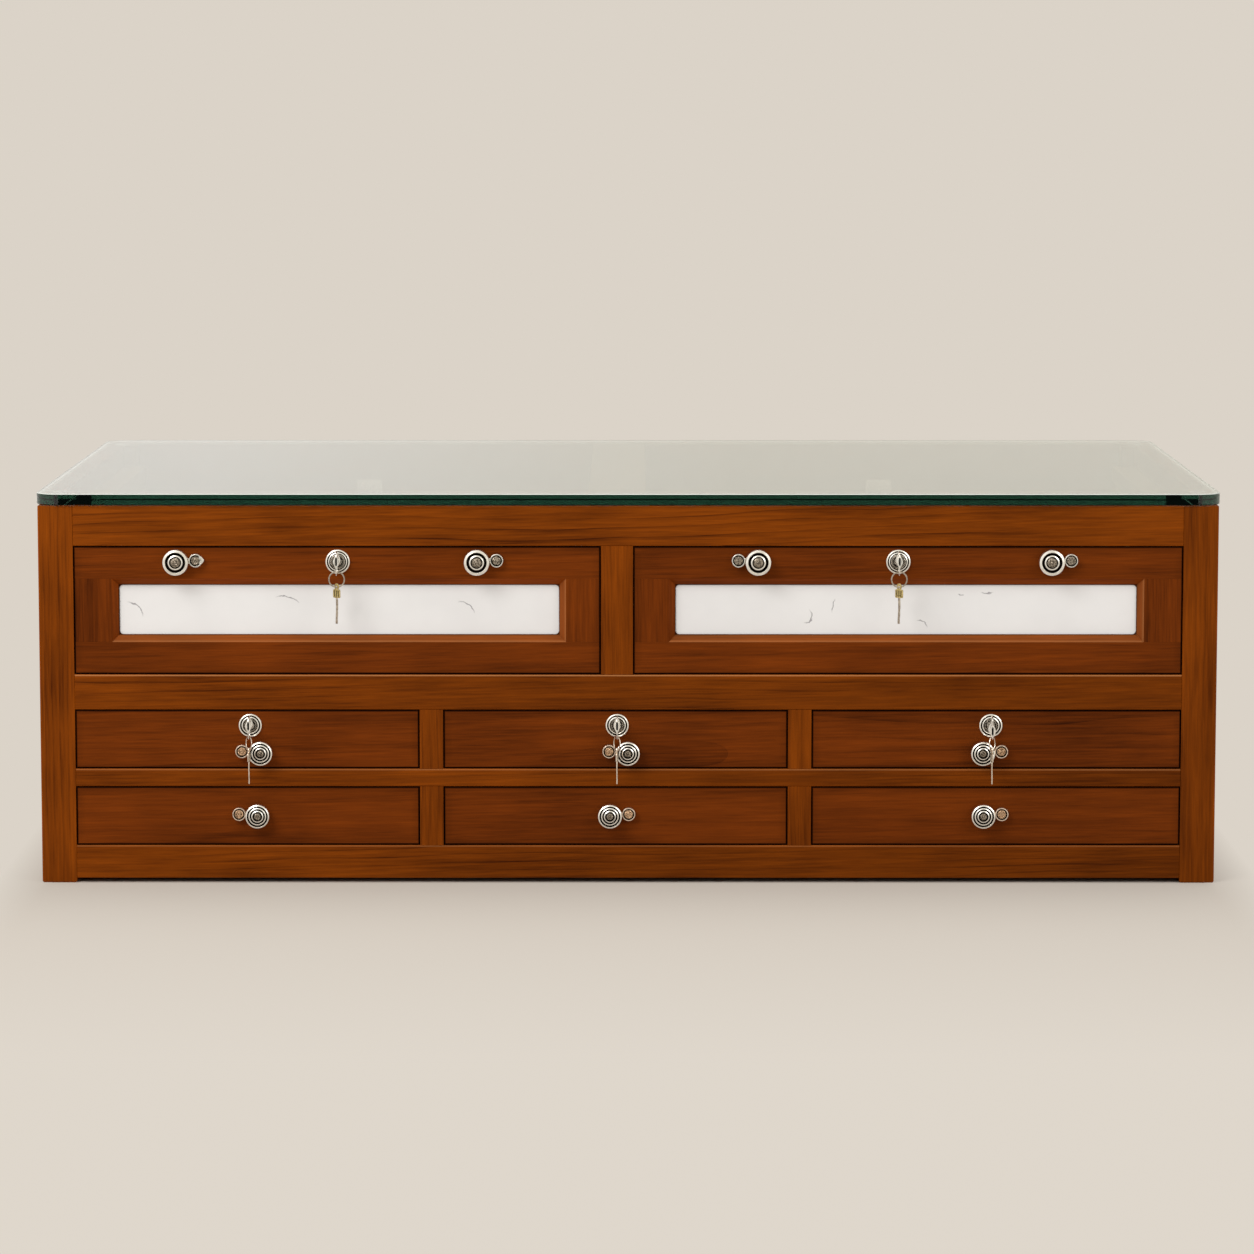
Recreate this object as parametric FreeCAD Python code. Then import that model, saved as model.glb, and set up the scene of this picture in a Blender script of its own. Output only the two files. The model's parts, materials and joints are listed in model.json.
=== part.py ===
"""A low teak shop counter with eight drawers, marble panels, keyed locks and a loose plate glass top.

The frame stands on four corner posts. Rails and stiles divide the front into two deep drawers over two rows
of three shallow ones, and the well under the glass is open to the deep drawers.
X runs to the right seen from the front, -Y towards the person who opens the drawers, +Z up. Millimetres.
"""
import FreeCAD
import Part
import math
import os

V = FreeCAD.Vector

# Carcass
body_width = 1220.0
body_depth = 700.0
post_width = 36.0
post_depth = 62.0
frame_thick = 22.0
foot_gap = 5.0
bottom_rail = 34.4
lower_rail = 18.4
middle_rail = 36.6
top_rail = 41.2
small_opening = 62.0
large_opening = 134.0
large_stile = 33.0
small_stile = 24.2
left_large_width = 546.0
left_small_width = 357.8
middle_small_width = 358.0
post_arris = 1.4
edge_arris = 0.8
tenon_length = 16.0
tenon_thick = 8.0
tenon_shoulder = 5.0

# Panels let into the sides and the back
panel_thick = 8.0
panel_setback = 6.0
panel_groove = 8.0
panel_play = 0.4

# Runners that carry the drawers, guides beside them and bearers above
runner_thick = 18.0
runner_ledge = 15.0
guide_height = 14.0
kicker_height = 18.0
kicker_width = 26.0
bearer_width = 60.0

# Glass top and the pads it lies on
glass_thick = 12.0
glass_overhang = 3.0
glass_corner = 25.0
glass_arris = 0.8
pad_thick = 1.0
pad_diameter = 16.0
pad_setback = 40.0

# Drawer fronts
front_gap = 1.2
front_thick = 22.0
front_rail = 32.8
left_front_stiles = (38.6, 35.1)
right_front_stiles = (35.9, 39.1)
bevel_width = 7.2
bevel_depth = 8.0
bevel_lip = 1.4
lip_corner = 4.0
marble_thick = 8.0
marble_lap = 6.0
backing_thick = 4.6

# Drawer boxes
side_play = 1.6
side_thick = 11.0
side_headroom = 6.0
runner_play = 0.3
box_length = 618.0
bottom_thick = 6.0
bottom_raise = 9.0
bottom_groove = 5.0
back_inset = 14.0
back_headroom = 4.0
tail_reach = 14.0
tail_pitch = 43.0
tail_root_share = 0.40
tail_tip_share = 0.62
stop_width = 30.0
stop_hold = 14.0
stop_rise = 4.0
stop_thick = 1.6

# Turned knobs and the tabs that swivel on their stems
large_knob = 27.4
small_knob = 25.0
knob_reach = 14.0
knob_stem = 9.0
knob_neck = 5.0
tab_diameter = 13.0
tab_lap = 6.0
tab_plate = 2.6
tab_disc = 5.6
tab_clear = 1.2
tab_neck = 5.4
tab_eye = 13.0
tab_degrees = 4.0

# Cam locks
rose_diameter = 24.4
rose_thick = 3.0
barrel_diameter = 19.0
plug_diameter = 12.6
plug_sink = 0.4
tail_square = 6.0
tail_end = 0.6
cam_thick = 2.0
cam_width = 12.0
cam_reach = 23.0
cam_corner = 3.0
cam_gap = 0.5

# Key in each lock, its ring and the spare key
key_thick = 1.2
blade_height = 6.0
blade_depth = 12.0
shank_length = 6.0
bow_width = 20.0
bow_height = 24.0
bow_bar = 2.0
bow_corner = 2.2
ring_diameter = 17.4
ring_wire = 1.3
ring_height = 1.2
ring_forward = 2.0
ring_degrees = 62.0
hang_play = 0.9
spare_degrees = 40.0
head_width = 11.0
head_height = 11.5
head_bar = 1.6
head_window = 3.6
head_cheek = 1.4
large_spare_length = 27.0
small_spare_length = 23.5
spare_width = 2.2

# Small rounds are made with this many flats
round_sides = 18

# Clearances and the overrun of cuts
glue_gap = 0.1
turn_gap = 0.1
overrun = 5.0

# Where the fittings sit in each opening, across from its middle and up from its floor
left_knobs = (-166.0, 144.8)
left_lock = 1.0
right_knobs = (-155.1, 147.7)
right_lock = -10.3
large_fitting_height = 117.8
large_tab_sides = ((1, 1), (-1, 1))
row1_locks = (3.2, 1.7, -5.9)
row1_knobs = (14.1, 12.8, -14.4)
row1_tab_sides = (-1, -1, 1)
row1_lock_height = 45.8
row1_knob_height = 17.4
row2_knobs = (10.5, -5.8, -13.4)
row2_tab_sides = (-1, 1, 1)
row2_knob_height = 32.0

# Worked out from the sizes above
key_stand = rose_thick + shank_length + bow_width
front_y = -(body_depth + glass_overhang - key_stand) / 2
back_y = front_y + body_depth
behind_frame = front_y + frame_thick
behind_front = front_y + front_thick
before_back = back_y - frame_thick
half_width = body_width / 2
clear_half = half_width - post_width
inner_half = half_width - frame_thick
row2_floor = foot_gap + bottom_rail
row2_head = row2_floor + small_opening
row1_floor = row2_head + lower_rail
row1_head = row1_floor + small_opening
large_floor = row1_head + middle_rail
large_head = large_floor + large_opening
wood_top = large_head + top_rail
rail_spans = ((large_head, wood_top), (row1_head, large_floor),
              (row2_head, row1_floor), (foot_gap, row2_floor))
large_split = left_large_width - clear_half
first_split = left_small_width - clear_half
second_split = first_split + small_stile + middle_small_width
plug_face = front_y - rose_thick + plug_sink
bow_middle = front_y - key_stand + bow_width / 2


def block(x0, x1, y0, y1, z0, z1):
    """A box between two corners."""
    return Part.makeBox(x1 - x0, y1 - y0, z1 - z0, V(x0, y0, z0))


def slab(points, depth):
    """A flat outline thickened along a vector."""
    return Part.Face(Part.makePolygon(points + [points[0]])).extrude(depth)


def joined(first, others):
    """Several solids made into one, without seams."""
    return first.fuse(others).removeSplitter()


def eased(shape, axis, place, size):
    """The shape with the edges that lie in one plane taken off."""
    edges = []
    for edge in shape.Edges:
        if all(abs(getattr(v.Point, axis) - place) < glue_gap for v in edge.Vertexes):
            edges.append(edge)
    return shape.makeChamfer(size, edges)


def turned(profile, x, z):
    """A piece turned on a lathe. The profile holds each corner's radius and its distance from the front plane."""
    points = [V(x + radius, front_y - out, z) for radius, out in profile]
    return Part.Face(Part.makePolygon(points + [points[0]])).revolve(V(x, front_y, z), V(0, 1, 0), 360)


def rod(radius, start, along):
    """A round bar with many flats, from a point along a level or an upright vector."""
    across = V(0, 0, radius) if abs(along.z) < along.Length else V(radius, 0, 0)
    turns = [FreeCAD.Rotation(along, 360.0 * i / round_sides) for i in range(round_sides)]
    return slab([start + turn.multVec(across) for turn in turns], along)


def save(node, solids):
    """Writes one node, as a single solid or as a group of separate ones."""
    shape = solids[0] if len(solids) == 1 else Part.makeCompound(solids)
    shape.exportStep("parts/" + node + ".step")


def rail(x0, x1, y0, y1, z0, z1, along):
    """A rail and the tenons at its two ends."""
    low, high = z0 + tenon_shoulder, z1 - tenon_shoulder
    if along == "x":
        y = (y0 + y1 - tenon_thick) / 2
        ends = [block(x0 - tenon_length, x0, y, y + tenon_thick, low, high)]
        ends.append(block(x1, x1 + tenon_length, y, y + tenon_thick, low, high))
    else:
        x = (x0 + x1 - tenon_thick) / 2
        ends = [block(x, x + tenon_thick, y0 - tenon_length, y0, low, high)]
        ends.append(block(x, x + tenon_thick, y1, y1 + tenon_length, low, high))
    return block(x0, x1, y0, y1, z0, z1), ends


def panel(x0, x1, y0, y1, z0, z1, along):
    """A panel's board and the groove that its edges run in."""
    pieces = []
    for reach, play in ((panel_groove - panel_play, 0), (panel_groove, glue_gap)):
        x, y = (reach, play) if along == "x" else (play, reach)
        pieces.append(block(x0 - x, x1 + x, y0 - y, y1 + y, z0 - reach, z1 + reach))
    return pieces


def post(side, y0, y1, outer_y):
    """A corner post, eased round its foot and down its outer corner."""
    x0, x1 = sorted((side * half_width, side * clear_half))
    shape = block(x0, x1, y0, y1, 0, wood_top)
    foot = [e for e in shape.Edges if all(v.Z == 0 for v in e.Vertexes)]
    corner = [e for e in shape.Edges if all(v.X == side * half_width and v.Y == outer_y for v in e.Vertexes)]
    return shape.makeChamfer(post_arris, foot + corner)


def make_frame():
    """Posts, rails, stiles, and the panels of the sides and the back."""
    sides = (-1, 1)
    y_posts = (front_y + post_depth, back_y - post_depth)
    side_spans = (rail_spans[0], rail_spans[1], rail_spans[3])
    front_rails, back_rails, side_rails, mortises = [], [], [], []
    for z0, z1 in rail_spans:
        bar, ends = rail(-clear_half, clear_half, front_y, behind_frame, z0, z1, "x")
        front_rails.append(joined(eased(bar, "y", front_y, edge_arris), ends))
        mortises += ends
        bar, ends = rail(-clear_half, clear_half, before_back, back_y, z0, z1, "x")
        back_rails.append(joined(bar, ends))
        mortises += ends
    for side in sides:
        x0, x1 = sorted((side * half_width, side * inner_half))
        for z0, z1 in side_spans:
            bar, ends = rail(x0, x1, *y_posts, z0, z1, "y")
            side_rails.append(joined(bar, ends))
            mortises += ends
    outer, inner = panel_setback, panel_setback + panel_thick
    side_panels, back_panels = [], []
    for above, below in zip(side_spans, side_spans[1:]):
        for side in sides:
            x0, x1 = sorted((side * (half_width - outer), side * (half_width - inner)))
            side_panels.append(panel(x0, x1, *y_posts, below[1], above[0], "y"))
    for above, below in zip(rail_spans, rail_spans[1:]):
        y = (back_y - inner, back_y - outer)
        back_panels.append(panel(-clear_half, clear_half, *y, below[1], above[0], "x"))
    grooves = [groove for board, groove in side_panels + back_panels]
    posts = [post(side, front_y, y_posts[0], front_y) for side in sides]
    posts += [post(side, y_posts[1], back_y, back_y) for side in sides]
    save("corner_posts", [shape.cut(mortises + grooves) for shape in posts])
    save("front_rails", front_rails)
    save("outer_rails", [shape.cut(grooves) for shape in side_rails + back_rails])
    save("outer_panels", [board for board, groove in side_panels + back_panels])
    stiles = [(large_split, large_stile, large_floor, large_head)]
    for split in (first_split, second_split):
        stiles.append((split, small_stile, row1_floor, row1_head))
        stiles.append((split, small_stile, row2_floor, row2_head))
    save("front_stiles", [block(x, x + wide, front_y, behind_frame, z0, z1) for x, wide, z0, z1 in stiles])


def make_runners():
    """Ledges under the drawers, guides beside them, kickers above and a bearer under the glass."""
    ledges, guides = [], []
    small_stiles = [(first_split, small_stile), (second_split, small_stile)]
    y = (behind_frame, before_back)
    y_posts = (front_y + post_depth, back_y - post_depth)
    for floor, stiles in ((large_floor, [(large_split, large_stile)]), (row1_floor, small_stiles),
                          (row2_floor, small_stiles)):
        under, top = floor - runner_thick, floor + guide_height
        for x, wide in stiles:
            ledges.append(block(x - runner_ledge, x + wide + runner_ledge, *y, under, floor))
            guides.append(block(x, x + wide, *y, floor, top))
        for side in (-1, 1):
            x0, x1 = sorted((side * clear_half, side * (clear_half - runner_ledge)))
            ledges.append(block(x0, x1, *y, under, floor))
            x0, x1 = sorted((side * inner_half, side * clear_half))
            guides.append(block(x0, x1, *y_posts, under, top))
    for side in (-1, 1):
        x0, x1 = sorted((side * inner_half, side * (inner_half - kicker_width)))
        guides.append(block(x0, x1, *y_posts, large_head, large_head + kicker_height))
    middle = large_split + large_stile / 2
    guides.append(block(middle - bearer_width / 2, middle + bearer_width / 2, *y, large_head, wood_top))
    save("drawer_ledges", ledges)
    save("drawer_guides", guides)


def make_glass():
    """The plate glass top and its four pads over the posts."""
    x, low = half_width + glass_overhang, wood_top + pad_thick
    shape = block(-x, x, front_y - glass_overhang, back_y + glass_overhang, low, low + glass_thick)
    upright = [e for e in shape.Edges if e.Vertexes[0].Z != e.Vertexes[1].Z]
    shape = shape.makeFillet(glass_corner, upright)
    save("glass_top", [eased(eased(shape, "z", low, glass_arris), "z", low + glass_thick, glass_arris)])
    pads = []
    for across in (clear_half + post_width / 2, -clear_half - post_width / 2):
        for y in (front_y + pad_setback, back_y - pad_setback):
            pads.append(rod(pad_diameter / 2, V(across, y, wood_top), V(0, 0, pad_thick)))
    save("glass_pads", pads)


def tails(x0, x1, z0, z1, gap):
    """Dovetails at the front end of a drawer side, or with a gap the sockets that take them."""
    count = math.ceil((z1 - z0) / tail_pitch)
    pitch = (z1 - z0) / count
    root, tip = pitch * tail_root_share / 2 + gap, pitch * tail_tip_share / 2 + gap
    y_tip = behind_front - tail_reach - gap
    shapes = []
    for i in range(count):
        z = z0 + pitch * (i + 0.5)
        outline = [V(x0, behind_front, z - root), V(x0, behind_front, z + root)]
        outline += [V(x0, y_tip, z + tip), V(x0, y_tip, z - tip)]
        shapes.append(slab(outline, V(x1 - x0, 0, 0)))
    return shapes


def make_box(name, x0, x1, z0, z1):
    """A drawer's sides, back and bottom. Returns the cuts that its front needs."""
    low, high = z0 + runner_play, z1 - side_headroom
    floor = low + bottom_raise
    y_end = behind_front + box_length
    y_back = y_end - back_inset
    left = (x0 + side_play, x0 + side_play + side_thick)
    right = (x1 - side_play - side_thick, x1 - side_play)
    reach = bottom_groove
    inner = (left[1] - reach, right[0] + reach)
    bottom = block(*inner, behind_front - reach, y_back, floor, floor + bottom_thick)
    back_place = (y_back - side_thick, y_back, floor + bottom_thick + glue_gap, high - back_headroom)
    back = block(*inner, *back_place)
    grooves = [block(inner[0] - glue_gap, inner[1] + glue_gap, behind_front - reach - glue_gap, y_end + overrun,
                     floor - glue_gap, floor + bottom_thick + glue_gap)]
    grooves.append(block(inner[0] - glue_gap, inner[1] + glue_gap, back_place[0] - glue_gap,
                         back_place[1] + glue_gap, floor, high + overrun))
    sides = []
    for a, b in (left, right):
        plank = joined(block(a, b, behind_front, y_end, low, high), tails(a, b, low, high, 0))
        sides.append(plank.cut(grooves))
    save(name + "_box", sides + [back, bottom])
    sockets = tails(x0, left[1] + glue_gap, low, high, glue_gap)
    sockets += tails(right[0] - glue_gap, x1, low, high, glue_gap)
    middle = (x0 + x1) / 2
    stop_top = back_place[3] + stop_rise + back_headroom + side_headroom
    stop = block(middle - stop_width / 2, middle + stop_width / 2, back_place[0] - stop_thick, back_place[0],
                 back_place[3] - stop_hold, stop_top)
    return sockets + grooves[:1], stop


def rectangle(x0, x1, z0, z1, y):
    return Part.makePolygon([V(x0, y, z0), V(x1, y, z0), V(x1, y, z1), V(x0, y, z1), V(x0, y, z0)])


def framed_front(name, x0, x1, z0, z1, stiles, cuts):
    """A front of two rails and two stiles round a bevelled opening, with a marble panel and a backing board."""
    frame = eased(block(x0, x1, front_y, behind_front, z0, z1), "y", front_y, edge_arris)
    x_open, z_open = (x0 + stiles[0], x1 - stiles[1]), (z0 + front_rail, z1 - front_rail)
    sight = (x_open[0] + bevel_width, x_open[1] - bevel_width, z_open[0] + bevel_width, z_open[1] - bevel_width)
    y_lip = front_y + bevel_depth
    y_marble = y_lip + bevel_lip
    bevel = Part.makeLoft([rectangle(*x_open, *z_open, front_y), rectangle(*sight, y_lip)], True, True)
    lip = block(sight[0], sight[1], y_lip, y_marble, sight[2], sight[3])
    bevel = bevel.fuse(lip.makeFillet(lip_corner, [e for e in lip.Edges if e.Vertexes[0].Y != e.Vertexes[1].Y]))
    rim = (sight[0] + lip_corner, sight[1] - lip_corner, sight[2] + lip_corner, sight[3] - lip_corner)
    seat = (sight[0] - marble_lap, sight[1] + marble_lap)
    z_seat = (sight[2] - marble_lap, sight[3] + marble_lap)
    wide = (seat[0] - glue_gap, seat[1] + glue_gap)
    tall = (z_seat[0] - glue_gap, z_seat[1] + glue_gap)
    rebate = block(*wide, y_marble, behind_front, *tall)
    frame = frame.cut([bevel, rebate] + cuts)
    outlines = []
    for edge, opening, inner in ((z1, z_open[1], rim[3]), (z0, z_open[0], rim[2])):
        outlines.append([(x0, edge), (x1, edge), (x1, opening), (x_open[1], opening), (rim[1], inner),
                         (rim[0], inner), (x_open[0], opening), (x0, opening)])
    low, high = glue_gap, -glue_gap
    for edge, opening, inner in ((x0, x_open[0], rim[0]), (x1, x_open[1], rim[1])):
        outlines.append([(edge, z_open[0] + low), (opening, z_open[0] + low), (inner, rim[2] + low),
                         (inner, rim[3] + high), (opening, z_open[1] + high), (edge, z_open[1] + high)])
    through = V(0, front_thick, 0)
    pieces = [frame.common(slab([V(x, front_y, z) for x, z in outline], through)) for outline in outlines]
    y_backing = y_marble + marble_thick
    pieces.append(block(*seat, y_backing, y_backing + backing_thick, *z_seat))
    save(name + "_front", pieces)
    save(name + "_marble", [block(*seat, y_marble, y_backing, *z_seat)])


def knob(x, z, head):
    """A turned knob: a stem and a flat head of the given radius."""
    stem = knob_stem / 2
    profile = [(0, 0), (stem, 0), (stem, knob_neck), (head, knob_neck), (head, knob_reach), (0, knob_reach)]
    return turned(profile, x, z)


def make_tab(name, x, z, side, reach):
    """A round finger tab on a flat arm, whose square eye turns on the knob's stem."""
    y = front_y - tab_clear
    eye, hole = tab_eye / 2, knob_stem / 2 + turn_gap
    arm = block(x - eye, x + eye, y - tab_plate, y, z - eye, z + eye)
    arm = arm.fuse(block(x, x + reach, y - tab_plate, y, z - tab_neck / 2, z + tab_neck / 2))
    arm = arm.cut(block(x - hole, x + hole, y - tab_plate, y, z - hole, z + hole))
    disc = rod(tab_diameter / 2, V(x + reach, y, z), V(0, -tab_disc, 0))
    shape = joined(arm, [disc])
    angle = -tab_degrees if side > 0 else tab_degrees - 180
    shape.rotate(V(x, y, z), V(0, 1, 0), angle)
    save(name, [shape])


def lock_case(x, z):
    """A lock's rose and the barrel that goes through the front, bored for the plug."""
    bore, barrel, rose = plug_diameter / 2 + turn_gap, barrel_diameter / 2, rose_diameter / 2
    profile = [(bore, rose_thick), (rose, rose_thick), (rose, 0), (barrel, 0), (barrel, -front_thick)]
    return turned(profile + [(bore, -front_thick)], x, z)


def corner_cut(width, height, corner):
    """Corners of a rectangle about zero whose own corners are cut off."""
    x, z = width / 2, height / 2
    return [(x, z - corner), (x - corner, z), (corner - x, z), (-x, z - corner), (-x, corner - z),
            (corner - x, -z), (x - corner, -z), (x, corner - z)]


def make_plug(name, x, z, turn):
    """A lock's plug with its cam, and the key that stands in it. The cam rests on the side it comes up from."""
    plug = rod(plug_diameter / 2, V(x, plug_face, z), V(0, behind_front - plug_face, 0))
    square = tail_square / 2
    y_cam = behind_front + cam_gap
    tail = block(x - square, x + square, behind_front, y_cam + cam_thick + tail_end, z - square, z + square)
    slot = (key_thick / 2 + glue_gap, blade_height / 2 + glue_gap)
    y_slot = plug_face + blade_depth + glue_gap
    keyway = block(x - slot[0], x + slot[0], plug_face, y_slot, z - slot[1], z + slot[1])
    plug = joined(plug, [tail]).cut(keyway)
    near, far = -turn * cam_width / 2, turn * cam_reach
    tip = far - turn * cam_corner
    outline = [(near, cam_width / 2), (-tip, cam_width / 2), (-far, cam_width / 2 - cam_corner)]
    outline += [(-far, cam_corner - cam_width / 2), (-tip, -cam_width / 2), (near, -cam_width / 2)]
    outline = [(-near, v) if u == near else (u, v) for u, v in outline]
    cam = slab([V(x + u, y_cam, z + v) for u, v in outline], V(0, cam_thick, 0))
    hole = square + glue_gap
    cam = cam.cut(block(x - hole, x + hole, y_cam, y_cam + cam_thick, z - hole, z + hole))
    corners = corner_cut(bow_width, bow_height, bow_corner)
    bow = slab([V(x - key_thick / 2, bow_middle + u, z + v) for u, v in corners], V(key_thick, 0, 0))
    u, v = bow_width / 2 - bow_bar, bow_height / 2 - bow_bar
    window = block(x - key_thick, x + key_thick, bow_middle - u, bow_middle + u, z - v, z + v)
    y_bow = bow_middle + bow_width / 2
    blade = block(x - key_thick / 2, x + key_thick / 2, y_bow, plug_face + blade_depth, z - blade_height / 2,
                  z + blade_height / 2)
    save(name, [plug, cam, joined(bow.cut(window), [blade])])


def make_hanging(name, x, z, turn, twisted):
    """The ring on the key's bow and the spare key on the ring. Over a knob the ring hangs nearly edge-on."""
    ring_turn = turn * ring_degrees if twisted else 0
    angle = math.radians(ring_turn)
    radius = ring_diameter / 2
    z_ring = z - bow_height / 2 + bow_bar + hang_play + ring_wire - radius
    y = bow_middle - ring_forward
    normal = V(math.sin(angle), math.cos(angle), 0)
    start = V(x, y, z_ring) - normal * (ring_height / 2)
    ring = rod(radius, start, normal * ring_height)
    save(name + "_ring", [ring.cut(rod(radius - ring_wire, start, normal * ring_height))])
    z_head = z_ring - radius + ring_wire + hang_play + head_bar
    z_neck = z_head - head_height
    wide, thick = head_width / 2, key_thick / 2
    head = block(-wide, wide, -thick, thick, z_neck, z_head)
    cheek = wide - head_cheek
    head = head.cut(block(-cheek, cheek, -thick, thick, z_head - head_bar - head_window, z_head - head_bar))
    length = small_spare_length if twisted else large_spare_length
    blade = block(-spare_width / 2, spare_width / 2, -thick, thick, z_neck - length, z_neck)
    spare = joined(head, [blade])
    spare.rotate(V(0, 0, 0), V(0, 0, 1), -ring_turn - turn * spare_degrees)
    spare.translate(V(x, y, 0))
    save(name + "_spare_key", [spare])


def make_drawer(name, x0, x1, z0, z1, knobs, lock=None, stiles=None):
    """One drawer: knobs are (across, up, tab side), lock is (across, up, turn), and stiles make a framed front."""
    cuts, stop = make_box(name, x0, x1, z0, z1)
    fittings = [stop]
    middle = (x0 + x1) / 2
    if lock:
        x, z, turn = middle + lock[0], z0 + lock[1], lock[2]
        bore = barrel_diameter / 2 + turn_gap
        cuts.append(Part.makeCylinder(bore, front_thick, V(x, front_y, z), V(0, 1, 0)))
        fittings.append(lock_case(x, z))
        make_plug(name + "_lock_plug", x, z, turn)
        make_hanging(name, x, z, turn, stiles is None)
    place = (x0 + front_gap, x1 - front_gap, z0 + front_gap, z1 - front_gap)
    if stiles:
        framed_front(name, *place, stiles, cuts)
    else:
        shape = eased(block(place[0], place[1], front_y, behind_front, *place[2:]), "y", front_y, edge_arris)
        save(name + "_front", [shape.cut(cuts)])
    head = (large_knob if stiles else small_knob) / 2
    for i, (across, up, side) in enumerate(knobs):
        fittings.append(knob(middle + across, z0 + up, head))
        suffix = "_tab" if len(knobs) == 1 else ("_left_tab", "_right_tab")[i]
        make_tab(name + suffix, middle + across, z0 + up, side, head + tab_diameter - tab_lap)
    save(name + "_fittings", fittings)


def make_drawers():
    """Two deep drawers over two rows of three shallow ones."""
    height = large_fitting_height
    spans = ((-clear_half, large_split), (large_split + large_stile, clear_half))
    for i, name in enumerate(("upper_left", "upper_right")):
        places = (left_knobs, right_knobs)[i]
        knobs = [(across, height, side) for across, side in zip(places, large_tab_sides[i])]
        lock = ((left_lock, right_lock)[i], height, 1)
        stiles = (left_front_stiles, right_front_stiles)[i]
        make_drawer(name, *spans[i], large_floor, large_head, knobs, lock, stiles)
    spans = ((-clear_half, first_split), (first_split + small_stile, second_split),
             (second_split + small_stile, clear_half))
    for i, side in enumerate(("left", "middle", "right")):
        turn = 1 if row1_knobs[i] > row1_locks[i] else -1
        knobs = [(row1_knobs[i], row1_knob_height, row1_tab_sides[i])]
        lock = (row1_locks[i], row1_lock_height, turn)
        make_drawer("row1_" + side, *spans[i], row1_floor, row1_head, knobs, lock)
        knobs = [(row2_knobs[i], row2_knob_height, row2_tab_sides[i])]
        make_drawer("row2_" + side, *spans[i], row2_floor, row2_head, knobs)


os.makedirs("parts", exist_ok=True)
make_frame()
make_runners()
make_glass()
make_drawers()
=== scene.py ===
"""A low teak shop counter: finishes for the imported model, and its turned, cast and bent fittings in full."""

import json
import math

import bpy
from bpy.props import FloatProperty, FloatVectorProperty, PointerProperty
from mathutils import Matrix, Vector

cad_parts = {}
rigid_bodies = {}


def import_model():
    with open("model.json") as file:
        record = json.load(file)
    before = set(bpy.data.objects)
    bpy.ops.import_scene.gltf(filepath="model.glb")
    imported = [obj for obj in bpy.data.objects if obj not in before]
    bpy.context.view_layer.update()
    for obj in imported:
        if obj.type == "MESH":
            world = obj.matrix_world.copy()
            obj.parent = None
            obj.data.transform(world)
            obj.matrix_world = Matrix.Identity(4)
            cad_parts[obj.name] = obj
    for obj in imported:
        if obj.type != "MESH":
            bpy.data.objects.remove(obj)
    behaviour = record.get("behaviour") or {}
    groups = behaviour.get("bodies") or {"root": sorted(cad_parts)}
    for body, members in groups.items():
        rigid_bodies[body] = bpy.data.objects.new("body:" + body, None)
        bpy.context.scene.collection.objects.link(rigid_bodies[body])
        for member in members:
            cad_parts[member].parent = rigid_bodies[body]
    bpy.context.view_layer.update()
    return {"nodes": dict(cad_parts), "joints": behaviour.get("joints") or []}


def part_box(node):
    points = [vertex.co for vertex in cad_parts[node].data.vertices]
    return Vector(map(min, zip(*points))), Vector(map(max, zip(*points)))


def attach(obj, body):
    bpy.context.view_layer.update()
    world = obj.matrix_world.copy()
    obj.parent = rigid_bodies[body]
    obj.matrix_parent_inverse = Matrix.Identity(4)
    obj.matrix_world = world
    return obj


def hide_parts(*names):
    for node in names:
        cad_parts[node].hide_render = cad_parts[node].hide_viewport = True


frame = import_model()
joints = {joint["name"]: joint for joint in frame["joints"]}

bl_info = {
    "name": "Shop counter",
    "version": (1, 0, 0),
    "blender": (4, 5, 0),
    "location": "View3D > Sidebar > Counter",
    "description": "Dresses a glass-topped teak counter with ringed knobs, swivel tabs, locks and keys",
    "category": "Object",
}

MM = 0.001
DRAWERS = ("upper_left", "upper_right", "row1_left", "row1_middle", "row1_right", "row2_left", "row2_middle",
           "row2_right")
# Where the drawers' faces lie, in metres
FACE = joints["upper_left_left_tab_swivel"]["pos_m"][1]
# In millimetres: how far the marble goes in behind its bevels, how far it lies behind the drawers' faces, how
# far outside it the mitres start, how far under a drawer the painted highlight on its rail lies, and how deep
# the locks are
MARBLE_LAP = 6.0
MARBLE_SET = 12.4
MITRE = 1.2
RAIL_HIGHLIGHT_DROP = 2.2
LOCK_DEPTH = 22.0
# The marble's veins are short arcs, in millimetres: place and reach, then the arc's centre and radius
VEINS = ((-508, 289, 13, -520, 276, 17), (-353, 297, 14, -359, 270, 29), (-166, 290, 12, -174, 278, 15.5),
         (190, 276, 10, 183, 279, 8), (211, 290, 8, 232, 284, 21), (345, 300, 4, 345, 312, 12),
         (372, 302, 7, 372, 318, 16), (306, 272, 7, 300, 262, 12))


def linear(colour):
    """Linear light values of an sRGB hex colour."""
    parts = [int(colour[i:i + 2], 16) / 255 for i in (1, 3, 5)]
    values = [v / 12.92 if v <= 0.04045 else ((v + 0.055) / 1.055) ** 2.4 for v in parts]
    return (*values, 1.0)


def length(name, description, millimetres):
    return FloatProperty(name=name, description=description, default=millimetres * MM, min=0.0, unit="LENGTH")


def turn(name, description, degrees):
    return FloatProperty(name=name, description=description, default=math.radians(degrees), unit="ROTATION")


def tint(name, description, colour):
    return FloatVectorProperty(name=name, description=description, default=linear(colour), size=4, min=0.0,
                               max=1.0, subtype="COLOR")


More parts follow.
